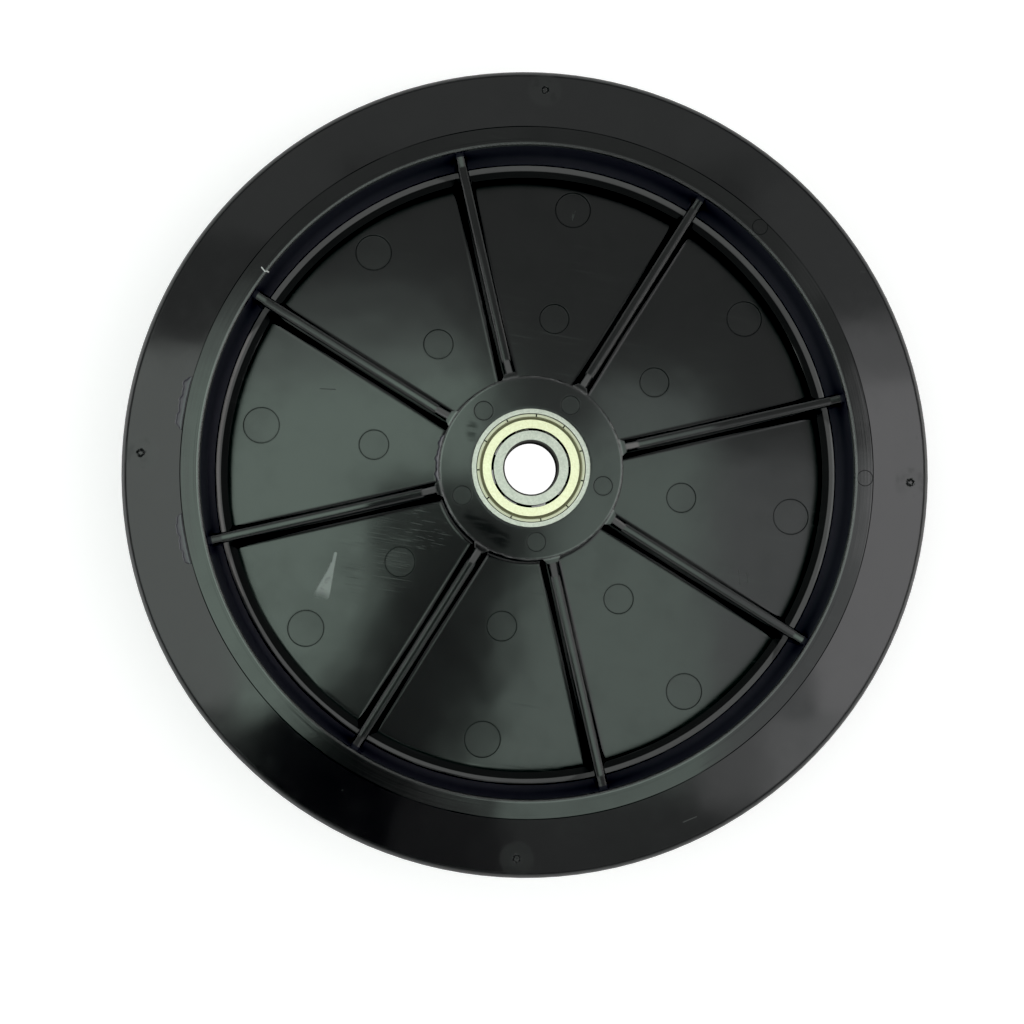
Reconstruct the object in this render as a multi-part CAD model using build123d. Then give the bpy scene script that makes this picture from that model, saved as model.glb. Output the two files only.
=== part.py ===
from build123d import *
import math
import os

# A moulded plastic wheel with an overmoulded tyre and a shielded ball bearing in its hub.
# Millimetres. The wheel lies on its back: the axle's axis is +Z and the back of the rim is at Z = 0.

# Driving dimensions of the wheel
wheel_width = 50.0
rim_lip_radius = 104.8
rim_wall = 5.9
tyre_thickness = 19.8
lip_rounding = 0.6
hub_radius = 29.6
hub_edge_rounding = 0.7
hub_back_recess = 2.0
pocket_depth = 22.8
web_thickness = 4.2
hub_foot_rounding = 2.0
rim_foot_rounding = 2.6
draft_angle = 1.0

# Ribs of the core
rib_count = 8
rib_first_angle = 22.5
rib_top_width = 3.4
rib_drop = 3.2
rib_draft_angle = 1.6
rib_top_rounding = 1.3
rib_foot_rounding = 1.8
ramp_width = 2.8
ramp_rounding = 0.9
hub_ramp_length = 6.2
hub_ear_reach = 1.5
hub_ear_width = 5.4
hub_ear_drop = 0.3
rim_ramp_length = 4.2
rim_ramp_rise = 1.2
rim_ramp_bury = 1.4

# Marks that the ejector pins leave on the core
pin_mark_depth = 0.2
outer_pin_diameter = 12.0
outer_pin_from_lip = 13.5
inner_pin_diameter = 10.0
inner_pin_from_hub = 23.4
hub_pin_diameter = 6.0
hub_pin_from_bearing = 3.7
hub_pin_count = 5
hub_pin_first_angle = -4.4

# Key that ties the tyre to the rim
key_height = 4.6
key_root_width = 12.0
key_crown_width = 17.0

# Tyre
tyre_face_step = 0.25
tyre_face_fall = 0.8
shoulder_inset = 0.9
shoulder_rounding = 2.4
shoulder_facets = 10

# Ball bearing
bearing_bore = 17.0
bearing_diameter = 40.0
bearing_width = 12.0
bearing_sunk = 0.3
ring_rounding = 0.6
outer_ring_rounding = 1.0
inner_ring_share = 0.309
outer_ring_share = 0.287
outer_ring_face_share = 0.2175
ball_count = 8
ball_diameter = 6.747
groove_clearance = 0.12

# Shields, with depths below the face of the ring
shield_thickness = 0.35
shield_running_gap = 0.55
shield_flat_depth = 0.35
shield_slope_width = 0.45
shield_valley_depth = 0.8
shield_valley_width = 0.45
shield_bead_depth = 0.4
shield_bead_width = 0.9
shield_crimp_width = 0.2
shield_rim_depth = 0.95
shield_seat_depth = 1.9
shield_notch_count = 11
shield_notch_width = 0.45
shield_notch_first_angle = -4.3

# Ribbon cage
cage_width = 2.6
cage_thickness = 0.7
pocket_clearance = 0.06
rivet_diameter = 1.0
rivet_head_diameter = 1.7
rivet_head_height = 0.4
rivet_clearance = 0.02

# Seat of the bearing and the bore behind it
seat_shoulder_width = 2.8
seat_shoulder_thickness = 3.0
back_bore_radius = 21.25
bore_lead_in = 0.8
seat_lip_land = 0.05

# Places that follow from the driving dimensions
front_z = wheel_width
web_front_z = front_z - pocket_depth
web_back_z = web_front_z - web_thickness
hub_back_z = hub_back_recess
rib_top_z = front_z - rib_drop
middle_z = wheel_width / 2
bearing_front_z = front_z - bearing_sunk
bearing_back_z = bearing_front_z - bearing_width
bearing_middle_z = bearing_front_z - bearing_width / 2
rim_outer_radius = rim_lip_radius + rim_wall
wheel_radius = rim_outer_radius + tyre_thickness
bearing_radius = bearing_diameter / 2
seat_lip_radius = bearing_radius - outer_ring_rounding - seat_lip_land
bore_radius = bearing_bore / 2
ball_pitch_radius = (bore_radius + bearing_radius) / 2
ring_section = bearing_radius - bore_radius
inner_land_radius = bore_radius + inner_ring_share * ring_section
outer_land_radius = bearing_radius - outer_ring_share * ring_section
shield_rim_radius = bearing_radius - outer_ring_face_share * ring_section
shield_bead_radius = shield_rim_radius - shield_crimp_width - shield_bead_width / 2
shield_valley_radius = shield_bead_radius - shield_bead_width / 2 - shield_valley_width
shield_flat_radius = shield_valley_radius - shield_slope_width
shield_bore_radius = inner_land_radius + shield_running_gap
rib_angles = [rib_first_angle + 360 / rib_count * i for i in range(rib_count)]
pocket_angles = [angle + 180 / rib_count for angle in rib_angles]


def drafted(length, angle=draft_angle):
    """Sideways run of a moulded wall of this length."""
    return length * math.tan(math.radians(angle))


def section(points, roundings=()):
    """Face in the XZ plane from (radius, z) points, with chosen corners rounded."""
    face = make_face(Polyline(*points, close=True).edges())
    for point, radius in roundings:
        corner = face.vertices().sort_by_distance((point[0], point[1], 0))[0]
        face = fillet(corner, radius)
    return Plane.XZ * face


def turned(points, roundings=()):
    """Solid of revolution about the axle."""
    return revolve(section(points, roundings), Axis.Z)


def around(angles, shape):
    """Copies of a shape turned about the axle."""
    return [Rot(0, 0, angle) * shape for angle in angles]


def rim_key_points():
    """Outer wall of the rim from the front face to the back, with the dovetail key."""
    root = key_root_width / 2
    crown = key_crown_width / 2
    crown_radius = rim_outer_radius + key_height
    return [
        (rim_outer_radius, middle_z + root),
        (crown_radius, middle_z + crown),
        (crown_radius, middle_z - crown),
        (rim_outer_radius, middle_z - root),
    ]


def core_body():
    """Hub, web and rim as one turned section."""
    shoulder_radius = bearing_radius - seat_shoulder_width
    shoulder_back_z = bearing_back_z - seat_shoulder_thickness
    seat_corner = (bearing_radius, bearing_front_z)
    hub_front = (hub_radius, front_z)
    hub_front_foot = (hub_radius + drafted(pocket_depth), web_front_z)
    rim_front_foot = (rim_lip_radius - drafted(pocket_depth), web_front_z)
    lip_front = (rim_lip_radius, front_z)
    lip_back = (rim_lip_radius, 0)
    rim_back_foot = (rim_lip_radius - drafted(web_back_z), web_back_z)
    hub_back_foot = (hub_radius + drafted(web_back_z - hub_back_z), web_back_z)
    hub_back = (hub_radius, hub_back_z)
    points = [
        (seat_lip_radius, front_z),
        hub_front,
        hub_front_foot,
        rim_front_foot,
        lip_front,
        (rim_outer_radius, front_z),
        *rim_key_points(),
        (rim_outer_radius, 0),
        lip_back,
        rim_back_foot,
        hub_back_foot,
        hub_back,
        (back_bore_radius + bore_lead_in, hub_back_z),
        (back_bore_radius, hub_back_z + bore_lead_in),
        (back_bore_radius, shoulder_back_z),
        (shoulder_radius, shoulder_back_z),
        (shoulder_radius, bearing_back_z),
        (bearing_radius, bearing_back_z),
        seat_corner,
        (seat_lip_radius, bearing_front_z),
    ]
    roundings = [
        (hub_front, hub_edge_rounding),
        (hub_back, hub_edge_rounding),
        (lip_front, lip_rounding),
        (lip_back, lip_rounding),
        (hub_front_foot, hub_foot_rounding),
        (hub_back_foot, hub_foot_rounding),
        (rim_front_foot, rim_foot_rounding),
        (rim_back_foot, rim_foot_rounding),
        (seat_corner, outer_ring_rounding),
    ]
    return turned(points, roundings)


def rib():
    """One rib along +X, with rounded top, rounded feet, and ramps up to the hub and the rim."""
    height = rib_top_z - web_front_z
    top = rib_top_width / 2
    foot = top + drafted(height, rib_draft_angle)
    flange = foot + 2 * rib_foot_rounding
    bury = web_thickness / 2
    profile = make_face(Polyline(
        (-flange, -bury),
        (flange, -bury),
        (flange, 0),
        (foot, 0),
        (top, height),
        (-top, height),
        (-foot, 0),
        (-flange, 0),
        close=True,
    ).edges())
    for side in (foot, -foot):
        corner = profile.vertices().sort_by_distance((side, 0, 0))[0]
        profile = fillet(corner, rib_foot_rounding)
    for side in (top, -top):
        corner = profile.vertices().sort_by_distance((side, height, 0))[0]
        profile = fillet(corner, rib_top_rounding)
    inner_radius = hub_radius - hub_edge_rounding
    outer_radius = (rim_lip_radius + rim_outer_radius) / 2
    start = Plane((inner_radius, 0, web_front_z), x_dir=(0, 1, 0), z_dir=(1, 0, 0))
    beam = extrude(start * profile, amount=outer_radius - inner_radius)
    return beam + hub_ramp() + hub_ear() + rim_ramp()


def slab(points, width):
    """Upright plate of the given width, from (radius, z) points."""
    return extrude(section(points), amount=width / 2, both=True)


def ramp(points):
    """Upright plate along a rib, with rounded upper edges."""
    plate = slab(points, ramp_width)
    high = plate.edges().filter_by(lambda edge: edge.center().Z >= rib_top_z)
    upper = high.filter_by(lambda edge: abs(edge.center().Y) > ramp_width / 4)
    return fillet(upper, ramp_rounding)


def hub_ramp():
    """Slope from the hub's face down to the top of a rib."""
    ear_radius = hub_radius + hub_ear_reach
    ramp_end_radius = hub_radius + hub_ramp_length
    return ramp([
        (hub_radius - hub_edge_rounding, web_front_z),
        (hub_radius - hub_edge_rounding, front_z - hub_ear_drop),
        (ear_radius, front_z - hub_ear_drop),
        (ramp_end_radius, rib_top_z),
        (ramp_end_radius, web_front_z),
    ])


def hub_ear():
    """Corner piece that widens a rib where it meets the hub."""
    root_radius = hub_radius - 2 * hub_edge_rounding
    plan = make_face(Polyline(
        (root_radius, hub_ear_width / 2),
        (hub_radius, hub_ear_width / 2),
        (hub_radius + hub_ear_reach, rib_top_width / 2),
        (hub_radius + hub_ear_reach, -rib_top_width / 2),
        (hub_radius, -hub_ear_width / 2),
        (root_radius, -hub_ear_width / 2),
        close=True,
    ).edges())
    return Pos(0, 0, web_front_z) * extrude(plan, amount=pocket_depth - hub_ear_drop)


def rim_ramp():
    """Short slope from the top of a rib up the rim's wall."""
    wall_radius = rim_lip_radius + rim_ramp_bury
    return ramp([
        (rim_lip_radius - rim_ramp_length, web_front_z),
        (rim_lip_radius - rim_ramp_length, rib_top_z),
        (rim_lip_radius, rib_top_z + rim_ramp_rise),
        (wall_radius, rib_top_z + rim_ramp_rise),
        (wall_radius, web_front_z),
    ])


def pin_mark(diameter, circle_radius, face_z):
    """Shallow round recess that an ejector pin leaves in a face."""
    return Pos(circle_radius, 0, face_z) * Cylinder(diameter / 2, 2 * pin_mark_depth)


def make_core():
    """The wheel's moulding."""
    core = core_body() + around(rib_angles, rib())
    hub_pin_angles = [hub_pin_first_angle + 360 / hub_pin_count * i for i in range(hub_pin_count)]
    marks = (
        around(pocket_angles, pin_mark(outer_pin_diameter, rim_lip_radius - outer_pin_from_lip, web_front_z))
        + around(pocket_angles, pin_mark(inner_pin_diameter, hub_radius + inner_pin_from_hub, web_front_z))
        + around(hub_pin_angles, pin_mark(hub_pin_diameter, bearing_radius + hub_pin_from_bearing, front_z))
    )
    return core - marks


def faceted(face, radius, count):
    """The same face, with each arc of this radius cut into equal pieces."""
    edges = []
    for edge in face.edges():
        if edge.geom_type == GeomType.CIRCLE and abs(edge.radius - radius) < radius / 100:
            edges += [edge.trim(i / count, (i + 1) / count) for i in range(count)]
        else:
            edges.append(edge)
    return make_face(edges)


def make_tyre():
    """Smooth crowned tyre, moulded round the key of the rim."""
    shoulder_radius = wheel_radius - shoulder_inset
    face_z = front_z - tyre_face_step
    shoulder_z = face_z - tyre_face_fall
    back_z = wheel_width - face_z
    back_shoulder_z = wheel_width - shoulder_z
    front_corner = (shoulder_radius, shoulder_z)
    back_corner = (shoulder_radius, back_shoulder_z)
    sides = Polyline(
        back_corner,
        (rim_outer_radius, back_z),
        *reversed(rim_key_points()),
        (rim_outer_radius, face_z),
        front_corner,
    )
    tread = ThreePointArc(front_corner, (wheel_radius, middle_z), back_corner)
    face = make_face(sides.edges() + tread.edges())
    for point in (front_corner, back_corner):
        corner = face.vertices().sort_by_distance((point[0], point[1], 0))[0]
        face = fillet(corner, shoulder_rounding)
    profile = faceted(face, shoulder_rounding, shoulder_facets)
    return revolve(Plane.XZ * profile, Axis.Z, clean=False)


def bearing_points(points):
    """Points given as (radius, distance from the middle plane of the bearing)."""
    return [(radius, bearing_middle_z + offset) for radius, offset in points]


def race_groove():
    """Ring-shaped space that the balls run in."""
    return Pos(0, 0, bearing_middle_z) * Torus(ball_pitch_radius, ball_diameter / 2 + groove_clearance)


def make_outer_ring():
    """Outer ring, with its race and a step at each end for a shield."""
    half = bearing_width / 2
    step = half - shield_seat_depth
    points = bearing_points([
        (bearing_radius, half),
        (shield_rim_radius, half),
        (shield_rim_radius, step),
        (outer_land_radius, step),
        (outer_land_radius, -step),
        (shield_rim_radius, -step),
        (shield_rim_radius, -half),
        (bearing_radius, -half),
    ])
    edges = [(points[0], outer_ring_rounding), (points[-1], outer_ring_rounding)]
    return turned(points, edges) - race_groove()


def make_inner_ring():
    """Inner ring, with its race and the bore for the axle."""
    half = bearing_width / 2
    points = bearing_points([
        (bore_radius, half),
        (inner_land_radius, half),
        (inner_land_radius, -half),
        (bore_radius, -half),
    ])
    return turned(points, [(points[0], ring_rounding), (points[-1], ring_rounding)]) - race_groove()


def make_shield(side):
    """Pressed shield with a crimped, notched rim. Side is 1 for the front and -1 for the back."""
    half = bearing_width / 2
    line = [
        (shield_bore_radius, shield_flat_depth),
        (shield_flat_radius, shield_flat_depth),
        (shield_valley_radius, shield_valley_depth),
        (shield_bead_radius - shield_bead_width / 2, shield_bead_depth),
        (shield_bead_radius + shield_bead_width / 2, shield_bead_depth),
        (shield_rim_radius, shield_rim_depth),
    ]
    outer_face = [(radius, side * (half - depth)) for radius, depth in line]
    inner_face = [(radius, side * (half - depth - shield_thickness)) for radius, depth in line]
    sheet = turned(bearing_points(outer_face + inner_face[::-1]))
    bead_z = bearing_middle_z + side * (half - shield_bead_depth)
    cutter = Box(shield_bead_width, shield_notch_width, 4 * shield_thickness)
    notch = Pos(shield_bead_radius, 0, bead_z) * cutter
    step = 360 / shield_notch_count
    notch_angles = [shield_notch_first_angle + step * i for i in range(shield_notch_count)]
    return sheet - around(notch_angles, notch)


def ball_angles():
    return [360 / ball_count * i for i in range(ball_count)]


def rivet_angles():
    return [angle + 180 / ball_count for angle in ball_angles()]


def make_ball():
    """Ball on the +X axis."""
    return Pos(ball_pitch_radius, 0, bearing_middle_z) * Sphere(ball_diameter / 2)


def make_cage_half(side):
    """Ribbon with a cup over each ball and a flat between cups for each rivet."""
    pocket_radius = ball_diameter / 2 + pocket_clearance
    cup_radius = pocket_radius + cage_thickness
    centre = Pos(ball_pitch_radius, 0, 0)
    inner_radius = ball_pitch_radius - cage_width / 2
    outer_radius = ball_pitch_radius + cage_width / 2
    upright = (Align.CENTER, Align.CENTER, Align.MIN)
    band = Cylinder(outer_radius, cup_radius, align=upright)
    band -= Cylinder(inner_radius, cup_radius, align=upright)
    ribbon = Cylinder(outer_radius, cage_thickness, align=upright)
    ribbon += around(ball_angles(), centre * Sphere(cup_radius))
    half = ribbon & band
    half -= around(ball_angles(), centre * Sphere(pocket_radius))
    hole_radius = rivet_diameter / 2 + rivet_clearance
    rivet_hole = centre * Cylinder(hole_radius, 4 * cage_thickness)
    half -= around(rivet_angles(), rivet_hole)
    if side < 0:
        half = mirror(half, about=Plane.XY)
    return Pos(0, 0, bearing_middle_z) * half


def make_rivets():
    """Rivets that hold the two halves of the cage, one between each pair of balls."""
    shank = Cylinder(rivet_diameter / 2, 2 * cage_thickness)
    head = Cylinder(
        rivet_head_diameter / 2,
        rivet_head_height,
        align=(Align.CENTER, Align.CENTER, Align.MIN),
    )
    front_head = Pos(0, 0, cage_thickness) * head
    one = shank + front_head + mirror(front_head, about=Plane.XY)
    placed = Pos(ball_pitch_radius, 0, bearing_middle_z) * one
    return Compound(children=around(rivet_angles(), placed))


def main():
    os.makedirs("parts", exist_ok=True)
    nodes = {
        "wheel_core": make_core(),
        "tyre": make_tyre(),
        "bearing_outer_ring": make_outer_ring(),
        "bearing_inner_ring": make_inner_ring(),
        "shield_front": make_shield(1),
        "shield_back": make_shield(-1),
        "cage_front": make_cage_half(1),
        "cage_back": make_cage_half(-1),
        "cage_rivets": make_rivets(),
    }
    for number, ball in enumerate(around(ball_angles(), make_ball()), 1):
        nodes[f"ball_{number}"] = ball
    for name, shape in nodes.items():
        export_step(shape, f"parts/{name}.step")


main()
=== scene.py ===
import math

import bpy
from mathutils import Matrix, Vector


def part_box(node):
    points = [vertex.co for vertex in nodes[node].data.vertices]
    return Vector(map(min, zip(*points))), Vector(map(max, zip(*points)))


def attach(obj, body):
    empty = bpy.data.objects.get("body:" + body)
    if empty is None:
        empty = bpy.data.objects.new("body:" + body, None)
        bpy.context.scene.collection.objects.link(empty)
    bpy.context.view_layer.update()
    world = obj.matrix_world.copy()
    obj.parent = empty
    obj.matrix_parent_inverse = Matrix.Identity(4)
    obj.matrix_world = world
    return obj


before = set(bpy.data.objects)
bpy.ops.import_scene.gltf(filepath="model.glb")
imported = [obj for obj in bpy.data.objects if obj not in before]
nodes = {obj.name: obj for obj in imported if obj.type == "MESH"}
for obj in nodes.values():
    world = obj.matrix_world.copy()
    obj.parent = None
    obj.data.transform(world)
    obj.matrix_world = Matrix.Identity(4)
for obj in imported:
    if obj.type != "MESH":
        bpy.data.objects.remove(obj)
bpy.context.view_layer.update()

# Millimetres are turned into metres once, here
MM = 0.001

# Depth of the pockets in millimetres, and heights of the wheel's faces from the frame
POCKET_DEPTH = 22.8
FRONT_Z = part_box("wheel_core")[1].z
TYRE_FACE_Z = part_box("tyre")[1].z
WEB_Z = FRONT_Z - POCKET_DEPTH * MM

# Camera that took the picture, in the wheel's frame
CAMERA_PLACE = Vector((-11.92, -21.53, 400.0)) * MM
CAMERA_AIM = Vector((0.0, -2.73, 50.0)) * MM
CAMERA_ROLL = math.radians(-9.70)
FRAME_PIXELS = 1024
FOCAL_PIXELS = 1100
CENTRE_OFFSET_PIXELS = (17.8, -35.9)
SENSOR_MM = 36.0
CLIP_START = 0.01

# Colours, linear
PLASTIC_BLACK = (0.0016, 0.0019, 0.0018, 1)
PLASTIC_DUSTY = (0.0032, 0.0036, 0.0034, 1)
TYRE_BLACK = (0.0018, 0.0018, 0.0020, 1)
TYRE_DUSTY = (0.0040, 0.0039, 0.0042, 1)
# Painted shade on the rim's inner wall: an even dull purple-black in place of its reflections, painted
# lighter towards its foot to offset the shade there
WALL_PAINTED_SHADE = (0.017, 0.017, 0.021, 1)
WALL_FOOT_PAINTED_LIGHT = (0.052, 0.052, 0.062, 1)
TREAD_BLACK = (0.013, 0.013, 0.014, 1)
MATT_EDGE = (0.020, 0.021, 0.0205, 1)
WHITE_SCUFF = (0.33, 0.36, 0.345, 1)
WHITE_FLAKE = (0.44, 0.45, 0.44, 1)
RING_STEEL = (0.54, 0.53, 0.48, 1)
RING_STEEL_DARK = (0.42, 0.42, 0.38, 1)
# Painted shade in the bearing: its bore, the gaps between its parts, and the shield's groove slope and bead
BORE_PAINTED_SHADE = (0.06, 0.058, 0.055, 1)
GAP_PAINTED_SHADE = (0.006, 0.006, 0.005, 1)
GROOVE_PAINTED_SHADE = (0.30, 0.30, 0.21, 1)
SLOPE_PAINTED_SHADE = (0.17, 0.165, 0.11, 1)
INNER_GAP_PAINTED_SHADE = (0.02, 0.019, 0.014, 1)
BEAD_PAINTED_SHADE = (0.50, 0.49, 0.37, 1)
SHIELD_STEEL = (0.83, 0.81, 0.60, 1)
SHIELD_STEEL_DARK = (0.74, 0.71, 0.48, 1)
# Painted shade: cage and balls are coloured far darker than steel, for the shade deep behind the shields
CAGE_PAINTED_SHADE = (0.10, 0.095, 0.075, 1)
CAGE_PAINTED_SHADE_DARK = (0.07, 0.066, 0.052, 1)
BALL_PAINTED_SHADE = (0.12, 0.115, 0.09, 1)
BALL_PAINTED_SHADE_DARK = (0.10, 0.095, 0.075, 1)
FLASH_BLACK = (0.020, 0.019, 0.025, 1)
FLASH_PALE = (0.036, 0.034, 0.043, 1)
FLOOR_WHITE = (0.96, 0.92, 0.94, 1)
FLOOR_SHADE = (0.95, 0.91, 0.93, 1)
GLOW_WHITE = (1, 1, 1, 1)
SKY_COLOUR = (0.97, 1.0, 0.98, 1)

# Gloss and roughness of the mouldings, height of their soft waves in metres, and edge rounding in millimetres
PLASTIC_GLOSS = 0.53
PLASTIC_ROUGH = (0.055, 0.085)
PLASTIC_WAVE = 0.00022
TYRE_GLOSS = 0.5
TYRE_ROUGH = (0.075, 0.125)
TYRE_WAVE = 0.00016
LIP_GLOSS = 0.45
EDGE_ROUNDING = 0.7
FOOT_ROUNDING = 0.12
ROUNDING_SAMPLES = 2

# Painted shade in the bearing, in bands by radius in millimetres: a darker bore, dark gaps between parts, and
# darker olive and cream rings on the shield's groove and bead; and the radius below which the bore is painted
# dark and not metallic
RING_SHADE_BANDS = [(0.0, 9.0, BORE_PAINTED_SHADE), (11.92, 17.45, GAP_PAINTED_SHADE)]
SHIELD_SHADE_BANDS = [
    (12.0, 12.72, INNER_GAP_PAINTED_SHADE),
    (15.45, 15.75, SLOPE_PAINTED_SHADE),
    (15.75, 16.25, GROOVE_PAINTED_SHADE),
    (16.25, 16.5, SLOPE_PAINTED_SHADE),
    (16.5, 17.25, BEAD_PAINTED_SHADE),
    (17.25, 17.6, GAP_PAINTED_SHADE),
]
BAND_SOFT = 0.05
SHADED_BORE_RADIUS = 8.9

# Marks of ejector pins: how many, first angle in degrees, distance from the axle and radius in millimetres
PIN_RINGS = [
    (8, 0.0, 91.3, 6.0),
    (8, 0.0, 53.0, 5.0),
    (5, -4.4, 23.7, 3.0),
]
RIM_PINS = [((60.2, 90.0), 2.5), ((106.9, 15.1), 2.5)]

# Radii of the line between rim and tyre, of the hub's edge, and of the rounded lips, in millimetres
RIM_LINE = 110.7
RIM_LIP = 105.0
HUB_EDGE = 29.4
HUB_LIP = 29.3

# Marks on the core: start, stop, half width at each end and soft edge of each stroke, in millimetres
SCUFF_STROKES = [
    ((-59.2, -38.3), (-59.9, -53.0), 0.25, 0.9, 0.5),
    ((-59.6, -42.0), (-61.6, -52.6), 0.20, 1.5, 0.9),
]
FLAKE_STROKES = [
    ((-95.4, 48.3), (-94.2, 47.2), 0.13, 0.09, 0.15),
    ((-94.2, 47.2), (-93.0, 47.6), 0.06, 0.10, 0.15),
]
NICK_STROKES = [((0.6, 92.6), (0.2, 87.4), 0.30, 0.12, 0.3)]
SMALL_STROKES = [
    ((76.4, -21.2), (77.7, -26.0), 0.06, 0.06, 0.2),
    ((79.4, -21.8), (80.2, -25.0), 0.05, 0.05, 0.2),
    ((-69.0, 16.2), (-74.0, 15.6), 0.05, 0.05, 0.2),
]
SMEAR_STROKES = [
    ((-16.5, -18.6), (-5.0, -24.2), 0.8, 1.2, 3.0),
    ((-20.8, 9.6), (-20.4, 6.6), 0.6, 0.5, 2.6),
]

# Places on the web where the scuff fades and where it is rubbed, in millimetres
SCUFF_END = (-62.0, -58.5)
WEB_RUB = (-46.0, -38.0)
HUB_RUB = (-31.0, -25.0)

# Streak on the tyre, given like the marks on the core
TYRE_STROKES = [((66.5, -102.5), (70.3, -100.2), 0.08, 0.05, 0.2)]

# Ring at the foot of the rim: its radii in millimetres, and the tilt of its two slopes in degrees
FOOT_RADII = (101.0, 103.0, 104.45)
FOOT_SHALLOW = (28.5, 34.0)
FOOT_STEEP = (40.5, 44.5)
FOOT_STEPS = 40
FOOT_TURNS = 360

# Step and fall of the tyre's face below the rim, and places of its gates, in millimetres and degrees
TYRE_FACE_STEP = 0.25
TYRE_FACE_FALL = 0.8 / 18.9
GATE_COUNT = 4
GATE_ANGLE = 7.6
GATE_DISTANCE = 123.1

# Section of the flash: share of its width and share of its rise
FLASH_PROFILE = [(0.0, 0.0), (0.05, 0.8), (0.16, 1.0), (0.55, 0.90), (0.84, 0.80), (0.93, 0.62), (1.0, 0.0)]
FLASH_STEPS = 96
FLASH_SINK = 0.02

# Floor's half width in metres and its glow, and the glowing disc of painted light under the bore in
# millimetres
FLOOR_HALF = 3.0
FLOOR_GLOW = 0.27
GLOW_DISC_CENTRE = (1.3, 2.3)
GLOW_DISC_RADIUS = 9.7
GLOW_DISC_LIFT = 0.1
GLOW_DISC_SIDES = 64
GLOW_DISC_STRENGTH = 1.05

# Brightness of the sky by height: from, to, and the brightness at each end, of which the greater counts
SKY_LEVELS = [(0.42, 0.54, 1.7, 0.24), (0.80, 0.88, 0.24, 0.54)]

# Windows at both sides: name, place across the picture in metres, and colour
WINDOWS = [("left_window", -1.6, (0.97, 0.98, 1.0)), ("right_window", 1.6, (1.0, 0.93, 0.90))]
WINDOW_HEIGHT = 0.34
WINDOW_SIZE = (0.6, 1.5)
WINDOW_RADIANCE = 1.2
WINDOW_AIM_HEIGHT = 0.05

# Cards overhead: name, reach across and up the picture in metres, brightness and colour
CARD_HEIGHT = 1.1
CARDS = [
    ("far_left_card", (-0.74, -0.40), (-0.31, 0.25), 1.6, (0.92, 1.0, 0.95)),
    ("left_card", (-0.40, 0.00), (-0.33, 0.18), 2.45, (0.77, 1.0, 0.86)),
    ("left_fade_card", (-0.42, -0.03), (0.18, 0.24), 1.4, (0.82, 1.0, 0.90)),
    ("left_edge_card", (-0.42, -0.05), (0.24, 0.30), 0.45, (0.86, 1.0, 0.93)),
    ("middle_card", (0.00, 0.28), (-0.43, 0.09), 1.7, (0.79, 1.0, 0.88)),
    ("upper_card", (0.13, 0.28), (0.09, 0.17), 1.2, (0.84, 1.0, 0.93)),
    ("right_card", (0.28, 0.49), (-0.33, 0.08), 0.85, (0.95, 0.99, 1.0)),
    ("low_right_card", (0.30, 0.41), (-0.46, -0.33), 0.95, (0.98, 0.99, 1.0)),
    ("low_far_right_card", (0.41, 0.66), (-0.46, -0.32), 1.7, (0.98, 0.99, 1.0)),
    ("far_right_card", (0.49, 0.86), (-0.32, 0.20), 2.2, (0.99, 0.98, 1.0)),
    ("upper_right_card", (0.49, 0.86), (0.20, 0.29), 1.25, (0.98, 0.98, 1.0)),
    ("corner_card", (0.40, 0.86), (0.29, 0.54), 0.28, (0.97, 0.99, 1.0)),
    ("top_card", (-0.30, 0.44), (0.54, 0.92), 0.22, (0.96, 1.0, 0.98)),
    ("upper_left_card", (-0.52, -0.25), (0.42, 0.70), 0.25, (0.96, 1.0, 0.98)),
]

# Dark boards just below the cards: name, outline across and up the picture and height in metres, and shade
WEB_FLAG_OUTLINE = [
    (-0.16, 0.035), (-0.06, 0.05), (0.06, 0.02), (0.07, -0.05), (0.03, -0.085), (0.01, -0.13), (0.02, -0.20),
    (-0.03, -0.31), (-0.12, -0.34), (-0.21, -0.275), (-0.25, -0.24), (-0.18, -0.19), (-0.155, -0.11),
]
TYRE_FLAG_OUTLINE = [
    (-0.20, -0.27), (-0.322, -0.285), (-0.411, -0.366), (-0.51, -0.455), (-0.42, -0.66), (-0.21, -0.62),
    (-0.11, -0.35),
]
GREY_FLAG_OUTLINE = [
    (-0.11, -0.36), (-0.21, -0.62), (-0.10, -0.68), (0.0, -0.64), (0.012, -0.46), (-0.04, -0.43),
]
FLAGS = [
    ("web_flag", WEB_FLAG_OUTLINE, 1.095, 0.24),
    ("tyre_flag", TYRE_FLAG_OUTLINE, 1.092, 0.12),
    ("grey_flag", GREY_FLAG_OUTLINE, 1.09, 0.24),
]

# Black level of the picture
BLACK_LEVEL = (0.0068, 0.0068, 0.0065)


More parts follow.
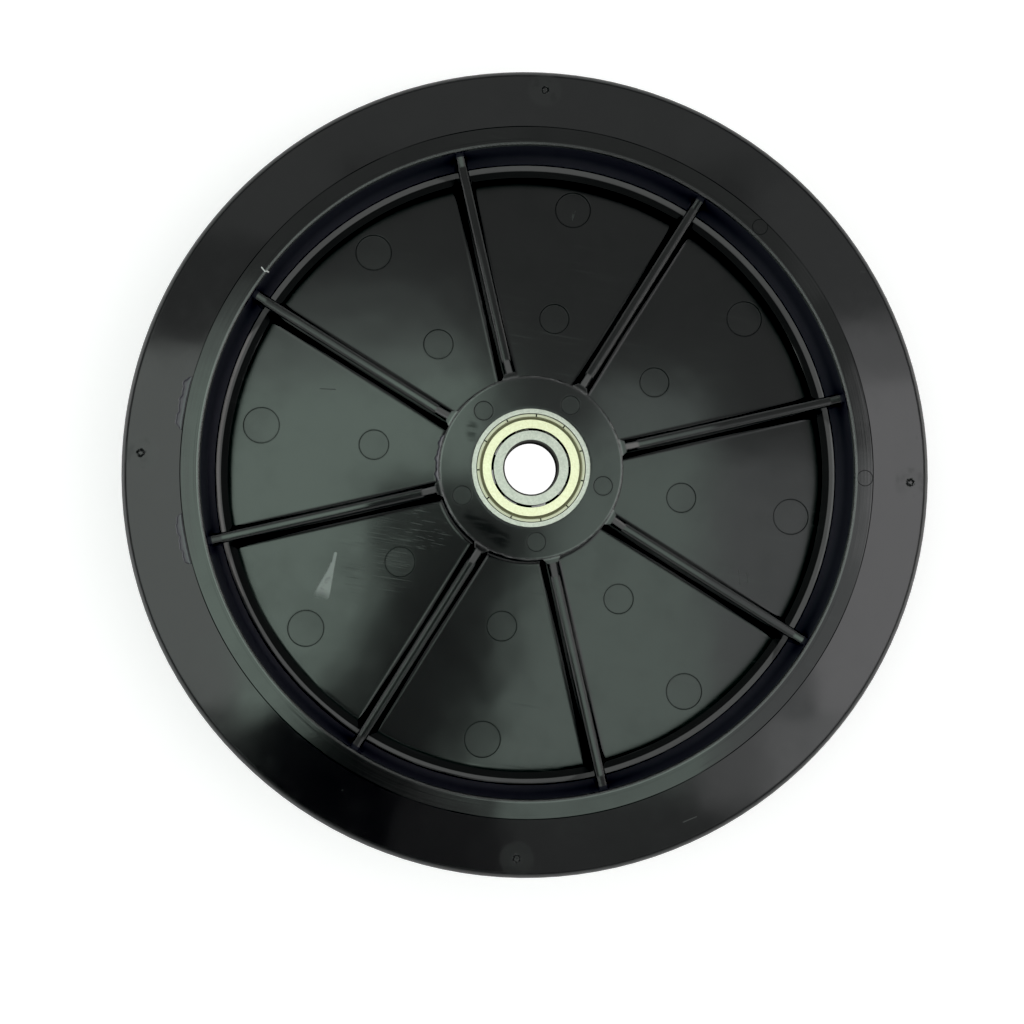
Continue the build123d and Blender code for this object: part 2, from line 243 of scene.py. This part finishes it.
class Graph:
    """Short hand for building a material's node tree."""

    def __init__(self, name):
        self.material = bpy.data.materials.new(name)
        self.material.use_nodes = True
        self.tree = self.material.node_tree
        self.shader = self.tree.nodes["Principled BSDF"]

    def add(self, kind, inputs=None, **settings):
        node = self.tree.nodes.new(kind)
        for key, value in settings.items():
            setattr(node, key, value)
        for key, value in (inputs or {}).items():
            self.put(node.inputs[key], value)
        return node

    def put(self, socket, value):
        if isinstance(value, bpy.types.NodeSocket):
            self.tree.links.new(value, socket)
        else:
            socket.default_value = value

    def place(self):
        return self.add("ShaderNodeTexCoord").outputs["Object"]

    def math(self, operation, a, b=0.0):
        return self.add("ShaderNodeMath", {0: a, 1: b}, operation=operation).outputs[0]

    def vector(self, operation, a, b=(0, 0, 0)):
        node = self.add("ShaderNodeVectorMath", {0: a, 1: b}, operation=operation)
        return node.outputs["Value" if operation in ("LENGTH", "DOT_PRODUCT") else "Vector"]

    def spread(self, value, low, high, to_low=0.0, to_high=1.0):
        """Smooth step of a value from low to high."""
        inputs = {"Value": value, "From Min": low, "From Max": high, "To Min": to_low, "To Max": to_high}
        return self.add("ShaderNodeMapRange", inputs, interpolation_type="SMOOTHSTEP").outputs["Result"]

    def noise(self, place, scale, detail=3.0, roughness=0.55):
        inputs = {"Vector": place, "Scale": scale, "Detail": detail, "Roughness": roughness}
        return self.add("ShaderNodeTexNoise", inputs).outputs["Fac"]

    def stretched(self, place, scale, turn=0.0):
        inputs = {"Vector": place, "Scale": scale, "Rotation": (0, 0, turn)}
        return self.add("ShaderNodeMapping", inputs).outputs["Vector"]

    def mix(self, share, a, b):
        """Blend of two colours, whose sockets are numbers 6 and 7 of the node."""
        return self.add("ShaderNodeMix", {"Factor": share, 6: a, 7: b}, data_type="RGBA").outputs[2]

    def bump(self, height, strength, distance):
        inputs = {"Height": height, "Strength": strength, "Distance": distance}
        return self.add("ShaderNodeBump", inputs).outputs["Normal"]

    def polar(self, place):
        """Radius and turn about the axle, and height."""
        parts = self.add("ShaderNodeSeparateXYZ", {"Vector": place}).outputs
        flat = self.add("ShaderNodeCombineXYZ", {"X": parts["X"], "Y": parts["Y"]}).outputs["Vector"]
        radius = self.vector("LENGTH", flat)
        turn = self.math("ARCTAN2", parts["Y"], parts["X"])
        return flat, radius, turn, parts["Z"]

    def repeated(self, radius, turn, count, first, distance):
        """Distance to the nearest of some points that repeat about the axle."""
        step = 2 * math.pi / count
        share = self.math("DIVIDE", self.math("SUBTRACT", turn, math.radians(first)), step)
        angle = self.math("MULTIPLY", self.math("SUBTRACT", share, self.math("ROUND", share)), step)
        x = self.math("SUBTRACT", self.math("MULTIPLY", radius, self.math("COSINE", angle)), distance * MM)
        y = self.math("MULTIPLY", radius, self.math("SINE", angle))
        return self.vector("LENGTH", self.add("ShaderNodeCombineXYZ", {"X": x, "Y": y}).outputs["Vector"])

    def apart(self, flat, point):
        """Distance from a point given in millimetres."""
        return self.vector("LENGTH", self.vector("SUBTRACT", flat, (point[0] * MM, point[1] * MM, 0)))

    def line_at(self, value, middle, half, soft):
        """One on a line where a value is near its middle, in millimetres."""
        off = self.math("ABSOLUTE", self.math("SUBTRACT", value, middle * MM))
        return self.spread(off, half * MM, (half + soft) * MM, 1.0, 0.0)

    def stroke(self, flat, start, stop, start_half, stop_half, soft):
        """One on a straight stroke that widens from its start to its stop, in millimetres."""
        run = Vector((stop[0] - start[0], stop[1] - start[1], 0)) * MM
        off = self.vector("SUBTRACT", flat, (start[0] * MM, start[1] * MM, 0))
        along = self.math("DIVIDE", self.vector("DOT_PRODUCT", off, tuple(run)), run.length_squared)
        inside = self.add("ShaderNodeClamp", {"Value": along}).outputs["Result"]
        inputs = {0: tuple(run), "Scale": inside}
        foot = self.add("ShaderNodeVectorMath", inputs, operation="SCALE").outputs["Vector"]
        away = self.vector("LENGTH", self.vector("SUBTRACT", off, foot))
        half = self.spread(inside, 0.0, 1.0, start_half * MM, stop_half * MM)
        return self.spread(self.math("SUBTRACT", away, half), 0.0, soft * MM, 1.0, 0.0)

    def most(self, masks):
        total = masks[0]
        for mask in masks[1:]:
            total = self.math("MAXIMUM", total, mask)
        return total

    def both(self, a, b):
        return self.math("MULTIPLY", a, b)

    def strokes(self, flat, rows):
        """One on any of some strokes."""
        return self.most([self.stroke(flat, *row) for row in rows])


def finish_moulding(g, colour, roughness, height, gloss, normal):
    """Wires up a moulded surface on the given smooth normals."""
    g.put(g.shader.inputs["Base Color"], colour)
    g.put(g.shader.inputs["Roughness"], roughness)
    g.put(g.shader.inputs["Specular IOR Level"], gloss)
    inputs = {"Height": height, "Strength": 1.0, "Distance": 1.0, "Normal": normal}
    g.put(g.shader.inputs["Normal"], g.add("ShaderNodeBump", inputs).outputs["Normal"])
    return g.material


def brushed(g, flat, degrees, across, along):
    """Fine straight hairlines along one direction."""
    turned = g.stretched(flat, (along, across, 1.0), -math.radians(degrees))
    return g.noise(turned, 1.0, 1.0, 0.5)


def core_plastic():
    """Black moulded core with pin marks, hairlines, the scuffs of the one in the picture, and painted shade
    and light on the rim's inner wall.
    """
    g = Graph("core_plastic")
    place = g.place()
    flat, radius, turn, height = g.polar(place)
    cloud = g.noise(place, 18.0, 4.0, 0.6)
    smudge = g.noise(place, 55.0, 5.0, 0.62)
    wave = g.noise(place, 32.0, 2.0, 0.4)

    offsets = [(g.repeated(radius, turn, count, first, distance), size)
               for count, first, distance, size in PIN_RINGS]
    pins = [g.line_at(offset, size, 0.06, 0.18) for offset, size in offsets]
    pins += [g.line_at(g.apart(flat, point), size, 0.08, 0.20) for point, size in RIM_PINS]
    in_front = g.spread(height, WEB_Z - 1.5 * MM, WEB_Z - 1.0 * MM)
    pin_edge = g.both(g.most(pins), in_front)
    discs = g.most([g.spread(offset, (size - 0.2) * MM, size * MM, 1.0, 0.0) for offset, size in offsets])

    rub_noise = g.noise(place, 420.0, 2.0, 0.6)
    scuff = g.both(g.strokes(flat, SCUFF_STROKES), g.spread(g.apart(flat, SCUFF_END), 4.2 * MM, 8.4 * MM))
    scuff = g.both(g.both(scuff, g.spread(rub_noise, 0.28, 0.5, 0.7, 1.0)), in_front)
    on_lip = g.spread(height, FRONT_Z - 2.2 * MM, FRONT_Z - 1.8 * MM)
    flake = g.both(g.strokes(flat, FLAKE_STROKES), on_lip)
    nick = g.both(g.strokes(flat, NICK_STROKES), g.spread(rub_noise, 0.45, 0.55))
    small = g.strokes(flat, SMALL_STROKES)

    web_only = g.spread(height, WEB_Z + 0.4 * MM, WEB_Z + 0.8 * MM, 1.0, 0.0)
    lines = brushed(g, flat, 41.0, 2600.0, 60.0)
    cross_lines = g.most([g.spread(brushed(g, flat, degrees, 1900.0, 120.0), 0.66, 0.74)
                          for degrees in (15.0, 78.0, 128.0)])
    near_rub = g.both(g.spread(g.apart(flat, WEB_RUB), 9.0 * MM, 17.0 * MM, 1.0, 0.0), web_only)
    near_hub = g.both(g.spread(g.apart(flat, HUB_RUB), 5.0 * MM, 10.0 * MM, 1.0, 0.0), web_only)
    hairs = g.most([g.both(near_rub, g.spread(lines, 0.50, 0.70, 0.0, 0.5)), g.both(near_hub, cross_lines)])
    faint = g.both(g.spread(brushed(g, flat, 100.0, 1400.0, 30.0), 0.62, 0.72), g.spread(cloud, 0.5, 0.65))

    rim_band = g.spread(radius, 103.6 * MM, 104.4 * MM)
    polar_lines = g.add("ShaderNodeCombineXYZ", {"X": radius, "Y": g.math("MULTIPLY", turn, 0.0012)})
    streaks = g.both(g.noise(polar_lines.outputs["Vector"], 1500.0, 1.0, 0.6), rim_band)

    wall = g.both(g.spread(radius, 103.4 * MM, 103.9 * MM),
                  g.spread(height, FRONT_Z - 1.4 * MM, FRONT_Z - 1.0 * MM, 1.0, 0.0))
    wall = g.both(wall, g.spread(height, WEB_Z + 3.5 * MM, WEB_Z + 3.8 * MM))

    matt = g.most([g.both(pin_edge, 0.2), nick, small, g.both(hairs, 0.8), g.both(faint, 0.18)])
    matt = g.both(matt, in_front)
    colour = g.mix(g.spread(cloud, 0.45, 0.75), PLASTIC_BLACK, PLASTIC_DUSTY)
    colour = g.mix(matt, colour, MATT_EDGE)
    colour = g.mix(scuff, colour, WHITE_SCUFF)
    # Painted shade and light: the inner wall is coloured an even purple-black, lighter towards its foot where
    # less light reaches
    wall_painted_shade_and_light = g.mix(g.spread(height, WEB_Z + 4.0 * MM, WEB_Z + 15.0 * MM), WALL_FOOT_PAINTED_LIGHT, WALL_PAINTED_SHADE)
    colour = g.mix(wall, colour, wall_painted_shade_and_light)
    colour = g.mix(flake, colour, WHITE_FLAKE)
    on_web = g.both(g.spread(height, WEB_Z + 0.01 * MM, WEB_Z + 0.08 * MM, 1.0, 0.0),
                    g.spread(radius, 99.0 * MM, 100.5 * MM, 1.0, 0.0))
    roughness = g.spread(smudge, 0.35, 0.72, *PLASTIC_ROUGH)
    on_hub = g.both(g.spread(height, FRONT_Z - 0.5 * MM, FRONT_Z - 0.4 * MM),
                    g.spread(radius, 28.4 * MM, 28.9 * MM, 1.0, 0.0))
    on_rim = g.spread(radius, 105.4 * MM, 105.8 * MM)
    softer = g.most([g.both(on_web, 0.06), g.both(on_hub, 0.06), g.both(on_rim, 0.03)])
    roughness = g.math("ADD", roughness, softer)
    roughness = g.math("ADD", roughness, g.both(g.most([matt, scuff, flake]), 0.35))
    roughness = g.math("ADD", roughness, g.both(g.both(discs, in_front), 0.04))

    bumps = g.both(wave, PLASTIC_WAVE)
    bumps = g.math("ADD", bumps, g.both(streaks, 0.000009))
    line = g.both(g.line_at(radius, RIM_LINE, 0.08, 0.20), g.spread(cloud, 0.35, 0.6, 0.45, 1.0))
    hub_hairs = g.spread(brushed(g, flat, -25.0, 900.0, 160.0), 0.30, 0.60, 0.4, 1.0)
    smear = g.both(g.both(g.strokes(flat, SMEAR_STROKES), on_hub), hub_hairs)
    rim_lines = g.most([g.line_at(radius, 105.75, 0.05, 0.18), g.line_at(radius, 106.5, 0.04, 0.22)])
    rim_lines = g.both(rim_lines, g.spread(cloud, 0.42, 0.58))
    greasy = g.spread(smudge, 0.38, 0.66, 0.0, 0.16)
    dull = g.most([line, greasy, g.both(wall, 0.94), g.both(smear, 0.5), g.both(rim_lines, 0.3),
                   g.both(pin_edge, 0.62)])
    gloss = g.spread(dull, 0.0, 1.0, PLASTIC_GLOSS, 0.0)
    near_top = g.spread(height, FRONT_Z - 1.7 * MM, FRONT_Z - 1.3 * MM)
    lips = g.both(g.most([g.line_at(radius, lip, 0.5, 0.3) for lip in (RIM_LIP, HUB_LIP)]), near_top)
    gloss = g.math("ADD", gloss, g.both(lips, LIP_GLOSS))

    at_foot = g.both(g.spread(radius, 97.0 * MM, 98.5 * MM),
                     g.spread(height, WEB_Z + 6.5 * MM, WEB_Z + 8.0 * MM, 1.0, 0.0))
    reach = g.spread(at_foot, 0.0, 1.0, EDGE_ROUNDING * MM, FOOT_ROUNDING * MM)
    reach = g.both(reach, g.spread(radius, 109.4 * MM, 109.8 * MM, 1.0, 0.2))
    rounded = g.add("ShaderNodeBevel", {"Radius": reach}, samples=ROUNDING_SAMPLES).outputs["Normal"]
    return finish_moulding(g, colour, roughness, bumps, gloss, rounded)


def tyre_rubber():
    """Black tyre with its gates, a haze round them, a duller tread and the line where it meets the rim."""
    g = Graph("tyre_rubber")
    place = g.place()
    flat, radius, turn, height = g.polar(place)
    cloud = g.noise(place, 20.0, 4.0, 0.6)
    smudge = g.noise(place, 60.0, 5.0, 0.62)
    wave = g.noise(place, 26.0, 2.0, 0.4)
    dust = g.spread(g.noise(place, 150.0, 3.0, 0.65), 0.50, 0.75)

    on_face = g.spread(height, TYRE_FACE_Z - 1.6 * MM, TYRE_FACE_Z - 1.2 * MM)
    gate = g.repeated(radius, turn, GATE_COUNT, GATE_ANGLE, GATE_DISTANCE)
    crumb = g.noise(place, 1500.0, 1.0, 0.6)
    ragged = g.math("ADD", gate, g.both(g.math("SUBTRACT", crumb, 0.5), 0.0016))
    crater = g.both(g.line_at(ragged, 1.0, 0.16, 0.30), on_face)
    nub = g.both(g.spread(ragged, 0.45 * MM, 0.8 * MM, 1.0, 0.0), on_face)
    blotch = g.both(g.line_at(gate, 3.6, 0.9, 1.2), g.spread(g.noise(place, 330.0, 2.0, 0.6), 0.50, 0.62))
    blotch = g.both(blotch, on_face)
    haze = g.both(g.spread(gate, 4.6 * MM, 6.2 * MM, 1.0, 0.0), g.spread(smudge, 0.3, 0.6, 0.35, 1.0))
    haze = g.both(haze, on_face)
    specks = g.spread(g.noise(place, 620.0, 1.0, 0.4), 0.80, 0.83)
    streak = g.strokes(flat, TYRE_STROKES)

    colour = g.mix(g.spread(cloud, 0.45, 0.75), TYRE_BLACK, TYRE_DUSTY)
    side = g.spread(radius, 128.7 * MM, 129.5 * MM)
    colour = g.mix(side, colour, TREAD_BLACK)
    matt = g.most([g.both(haze, 0.32), g.both(dust, 0.06), g.both(specks, 0.5), streak, g.both(nub, 0.25)])
    colour = g.mix(matt, colour, MATT_EDGE)
    roughness = g.spread(smudge, 0.35, 0.72, *TYRE_ROUGH)
    roughness = g.math("ADD", roughness, g.both(g.most([matt, crater]), 0.30))
    roughness = g.math("ADD", roughness, g.spread(radius, 127.0 * MM, 128.4 * MM, 0.0, 0.28))
    bumps = g.both(wave, TYRE_WAVE)
    bumps = g.math("SUBTRACT", bumps, g.both(crater, 0.00012))
    bumps = g.math("ADD", bumps, g.both(nub, 0.00016))
    line = g.both(g.line_at(radius, RIM_LINE, 0.08, 0.20), g.spread(cloud, 0.35, 0.6, 0.45, 1.0))
    dull = g.most([line, g.both(crater, 0.8), g.both(blotch, 0.22), g.both(side, 0.45)])
    gloss = g.spread(dull, 0.0, 1.0, TYRE_GLOSS, 0.0)
    smooth = g.add("ShaderNodeNewGeometry").outputs["Normal"]
    return finish_moulding(g, colour, roughness, bumps, gloss, smooth)


def turned_steel(name, bright, dark, rough, bands=(), shaded_below=0.0):
    """Ground steel with fine rings about the axle, painted shade in bands of radius, and a bore painted dark
    and not metallic.
    """
    g = Graph(name)
    place = g.place()
    _, radius, turn, height = g.polar(place)
    rings = g.add("ShaderNodeCombineXYZ", {"X": radius, "Y": g.math("MULTIPLY", turn, 0.0004), "Z": height})
    grain = g.noise(rings.outputs["Vector"], 5200.0, 3.0, 0.6)
    cloud = g.noise(place, 1300.0, 4.0, 0.7)
    colour = g.mix(g.spread(cloud, 0.3, 0.7), bright, dark)
    # Each band paints shade onto the steel
    for first, last, shade in bands:
        inside = g.both(g.spread(radius, (first - BAND_SOFT) * MM, (first + BAND_SOFT) * MM),
                        g.spread(radius, (last - BAND_SOFT) * MM, (last + BAND_SOFT) * MM, 1.0, 0.0))
        colour = g.mix(inside, colour, shade)
    g.put(g.shader.inputs["Base Color"], colour)
    # Inside the shaded bore radius the steel is painted shade: not metallic and without gloss
    metal = g.spread(radius, (shaded_below - 0.1) * MM, shaded_below * MM)
    g.put(g.shader.inputs["Metallic"], metal)
    g.put(g.shader.inputs["Specular IOR Level"], g.both(metal, 0.5))
    g.put(g.shader.inputs["Roughness"], g.spread(grain, 0.2, 0.8, rough - 0.06, rough + 0.08))
    g.put(g.shader.inputs["Normal"], g.bump(grain, 0.25, 0.00004))
    return g.material


def dress(names, material):
    for name in names:
        mesh = nodes[name].data
        mesh.materials.clear()
        mesh.materials.append(material)


def add_mesh(name, points, faces, material, smooth=False):
    """Mesh object of one material, linked into the scene."""
    mesh = bpy.data.meshes.new(name)
    mesh.from_pydata(points, [], faces)
    mesh.polygons.foreach_set("use_smooth", [smooth] * len(faces))
    mesh.materials.append(material)
    piece = bpy.data.objects.new(name, mesh)
    bpy.context.scene.collection.objects.link(piece)
    return piece


def make_camera():
    data = bpy.data.cameras.new("camera")
    camera = bpy.data.objects.new("camera", data)
    bpy.context.scene.collection.objects.link(camera)
    ahead = (CAMERA_AIM - CAMERA_PLACE).normalized()
    up_hint = Vector((math.sin(CAMERA_ROLL), math.cos(CAMERA_ROLL), 0))
    right = ahead.cross(up_hint).normalized()
    up = right.cross(ahead)
    turn = Matrix((right, up, -ahead)).transposed()
    camera.matrix_world = Matrix.Translation(CAMERA_PLACE) @ turn.to_4x4()
    data.sensor_width = SENSOR_MM
    data.lens = SENSOR_MM * FOCAL_PIXELS / FRAME_PIXELS
    data.shift_x = -CENTRE_OFFSET_PIXELS[0] / FRAME_PIXELS
    data.shift_y = CENTRE_OFFSET_PIXELS[1] / FRAME_PIXELS
    data.clip_start = CLIP_START
    bpy.context.scene.camera = camera


def in_picture(across, up, height):
    """A place given along the picture's right and upright directions, in metres, above the floor."""
    turn = -CAMERA_ROLL
    right = Vector((math.cos(turn), math.sin(turn), 0))
    upright = Vector((-math.sin(turn), math.cos(turn), 0))
    return right * across + upright * up + Vector((0, 0, height))


def soft_light(name, place, aim, size, radiance, colour=(1, 1, 1)):
    """Rectangular soft light whose face has the given brightness."""
    data = bpy.data.lights.new(name, "AREA")
    data.shape = "RECTANGLE"
    data.size, data.size_y = size
    data.energy = radiance * math.pi * size[0] * size[1]
    data.color = colour
    light = bpy.data.objects.new(name, data)
    bpy.context.scene.collection.objects.link(light)
    back = (place - aim).normalized()
    upright = in_picture(0, 1, 0)
    side = upright.cross(back).normalized()
    turn = Matrix((side, back.cross(side), back)).transposed()
    light.matrix_world = Matrix.Translation(place) @ turn.to_4x4()


def card(name, across, up, radiance, colour):
    """Level card above the wheel, which its glossy faces mirror."""
    centre = in_picture(sum(across) / 2, sum(up) / 2, CARD_HEIGHT)
    size = (across[1] - across[0], up[1] - up[0])
    soft_light(name, centre, centre - Vector((0, 0, 1)), size, radiance, colour)


def flag(name, outline, height, shade):
    """Dark level board above the wheel, whose outline its gloss mirrors."""
    g = Graph(name)
    g.shader.inputs["Base Color"].default_value = (shade, shade, shade, 1)
    g.shader.inputs["Roughness"].default_value = 0.9
    g.shader.inputs["Specular IOR Level"].default_value = 0.0
    corners = [in_picture(across, up, height) for across, up in outline]
    board = add_mesh(name, corners, [range(len(outline))], g.material)


def make_sky():
    """Even sky that is brighter at the horizon and overhead."""
    world = bpy.data.worlds.new("studio")
    bpy.context.scene.world = world
    world.use_nodes = True
    tree = world.node_tree
    background = tree.nodes["Background"]
    background.inputs["Color"].default_value = SKY_COLOUR
    place = tree.nodes.new("ShaderNodeTexCoord")
    split = tree.nodes.new("ShaderNodeSeparateXYZ")
    tree.links.new(place.outputs["Generated"], split.inputs["Vector"])
    greater = tree.nodes.new("ShaderNodeMath")
    greater.operation = "MAXIMUM"
    keys = ("From Min", "From Max", "To Min", "To Max")
    for socket, values in zip(greater.inputs, SKY_LEVELS):
        level = tree.nodes.new("ShaderNodeMapRange")
        level.interpolation_type = "SMOOTHSTEP"
        for key, value in zip(keys, values):
            level.inputs[key].default_value = value
        tree.links.new(split.outputs["Z"], level.inputs["Value"])
        tree.links.new(level.outputs["Result"], socket)
    tree.links.new(greater.outputs[0], background.inputs["Strength"])


def make_lights():
    make_sky()
    aim = in_picture(0, 0, WINDOW_AIM_HEIGHT)
    for name, across, colour in WINDOWS:
        soft_light(name, in_picture(across, 0, WINDOW_HEIGHT), aim, WINDOW_SIZE, WINDOW_RADIANCE, colour)
    for row in CARDS:
        card(*row)
    for row in FLAGS:
        flag(*row)


def make_floor():
    g = Graph("floor_paper")
    tone = g.noise(g.place(), 3.0, 2.0)
    g.put(g.shader.inputs["Base Color"], g.mix(tone, FLOOR_WHITE, FLOOR_SHADE))
    g.shader.inputs["Roughness"].default_value = 0.7
    g.shader.inputs["Emission Color"].default_value = GLOW_WHITE
    g.shader.inputs["Emission Strength"].default_value = FLOOR_GLOW
    half = FLOOR_HALF
    corners = [(-half, -half, 0), (half, -half, 0), (half, half, 0), (-half, half, 0)]
    floor = add_mesh("floor", corners, [(0, 1, 2, 3)], g.material)


def make_bore_glow_disc():
    """Glowing disc of painted light on the floor under the bore, as wide as the bore shows, lighting the
    wheel's shadow there.
    """
    g = Graph("bore_painted_light")
    g.shader.inputs["Base Color"].default_value = FLOOR_WHITE
    # Painted light: the disc glows to fill the wheel's shadow under the bore
    g.shader.inputs["Emission Color"].default_value = GLOW_WHITE
    g.shader.inputs["Emission Strength"].default_value = GLOW_DISC_STRENGTH
    edge = []
    for number in range(GLOW_DISC_SIDES):
        angle = 2 * math.pi * number / GLOW_DISC_SIDES
        across = GLOW_DISC_CENTRE[0] + GLOW_DISC_RADIUS * math.cos(angle)
        up = GLOW_DISC_CENTRE[1] + GLOW_DISC_RADIUS * math.sin(angle)
        edge.append((across * MM, up * MM, GLOW_DISC_LIFT * MM))
    glow_disc = add_mesh("bore_painted_light", edge, [range(GLOW_DISC_SIDES)], g.material)


def dress_nodes():
    dress(["wheel_core"], core_plastic())
    dress(["tyre"], tyre_rubber())
    ring_steel = turned_steel("ring_steel", RING_STEEL, RING_STEEL_DARK, 0.36, RING_SHADE_BANDS, SHADED_BORE_RADIUS)
    dress(["bearing_outer_ring", "bearing_inner_ring"], ring_steel)
    shield_steel = turned_steel("shield_steel", SHIELD_STEEL, SHIELD_STEEL_DARK, 0.42, SHIELD_SHADE_BANDS)
    dress(["shield_front", "shield_back"], shield_steel)
    # Cage and balls in steel painted dark, which is painted shade
    cage_steel = turned_steel("cage_steel", CAGE_PAINTED_SHADE, CAGE_PAINTED_SHADE_DARK, 0.4)
    dress(["cage_front", "cage_back", "cage_rivets"], cage_steel)
    ball_steel = turned_steel("ball_steel", BALL_PAINTED_SHADE, BALL_PAINTED_SHADE_DARK, 0.2)
    dress([f"ball_{number}" for number in range(1, 9)], ball_steel)


def tyre_face_z(radius_mm):
    """Height of the tyre's sloping front face, in millimetres."""
    return FRONT_Z / MM - TYRE_FACE_STEP - TYRE_FACE_FALL * (radius_mm - RIM_LINE)


def make_flash_rubber():
    """Rubber of the flash, a little paler than the tyre."""
    g = Graph("flash_rubber")
    grit = g.noise(g.place(), 500.0, 3.0, 0.6)
    g.put(g.shader.inputs["Base Color"], g.mix(grit, FLASH_BLACK, FLASH_PALE))
    g.shader.inputs["Roughness"].default_value = 0.16
    return g.material


def flash_strip(name, first, last, inner, reach, rise, face_z, rough, material):
    """Thin ragged ribbon of moulding flash along a circle about the axle, in millimetres and degrees."""
    points = []
    for step in range(FLASH_STEPS + 1):
        share = step / FLASH_STEPS
        angle = math.radians(first + (last - first) * share)
        ripple = 1 + rough * (0.6 * math.sin(19 * share + first) + 0.4 * math.sin(43 * share + last))
        width = reach * min(1.0, 9.0 * share, 9.0 * (1 - share)) ** 0.6 * ripple + 0.02
        for part, lift in FLASH_PROFILE:
            radius = inner + width * part
            z = face_z(radius) - FLASH_SINK + rise * lift * min(1.0, width / 0.6)
            points.append(Vector((radius * math.cos(angle), radius * math.sin(angle), z)) * MM)
    size = len(FLASH_PROFILE)
    faces = []
    for step in range(FLASH_STEPS):
        for part in range(size - 1):
            corner = step * size + part
            faces.append((corner, corner + 1, corner + size + 1, corner + size))
    strip = add_mesh(name, points, faces, material, smooth=True)
    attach(strip, "wheel")


def hub_edge_z(radius_mm):
    """Height of the flash that leans off the hub's edge, in millimetres."""
    return FRONT_Z / MM - 0.5 - 0.9 * (radius_mm - HUB_EDGE)


def make_flash():
    pale = make_flash_rubber()
    inner = RIM_LINE + 0.28
    flash_strip("flash_upper", 174.7, 183.7, inner, 2.2, 0.26, tyre_face_z, 0.17, pale)
    flash_strip("flash_lower", 197.2, 205.7, inner, 2.2, 0.26, tyre_face_z, 0.17, pale)
    flash_strip("flash_hub", 168.0, 199.5, HUB_EDGE, 1.15, 0.15, hub_edge_z, 0.42, pale)


def make_rim_foot(material):
    """Sloped ring in the corner between web and rim, a guess for the look: shallow first, then steep."""
    radius, z = FOOT_RADII[0], WEB_Z / MM - 0.01
    profile = [(radius, z)]
    for start, stop, tilts in zip(FOOT_RADII, FOOT_RADII[1:], (FOOT_SHALLOW, FOOT_STEEP)):
        run = (stop - start) / FOOT_STEPS
        for step in range(FOOT_STEPS):
            tilt = tilts[0] + (tilts[1] - tilts[0]) * (step + 0.5) / FOOT_STEPS
            radius += run
            z += run * math.tan(math.radians(tilt))
            profile.append((radius, z))
    points = []
    for turn in range(FOOT_TURNS):
        angle = 2 * math.pi * turn / FOOT_TURNS
        points += [Vector((r * math.cos(angle), r * math.sin(angle), up)) * MM for r, up in profile]
    size = len(profile)
    faces = []
    for turn in range(FOOT_TURNS):
        here = turn * size
        ahead = (turn + 1) % FOOT_TURNS * size
        for part in range(size - 1):
            faces.append((ahead + part, ahead + part + 1, here + part + 1, here + part))
    ring = add_mesh("rim_foot", points, faces, material, smooth=True)
    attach(ring, "wheel")


def set_tone():
    """Plain picture tone with deep blacks."""
    view = bpy.context.scene.view_settings
    view.view_transform = "Standard"
    view.use_curve_mapping = True
    view.curve_mapping.black_level = BLACK_LEVEL
    view.curve_mapping.update()


set_tone()
make_camera()
make_lights()
make_floor()
make_bore_glow_disc()
dress_nodes()
make_flash()
make_rim_foot(nodes["wheel_core"].data.materials[0])
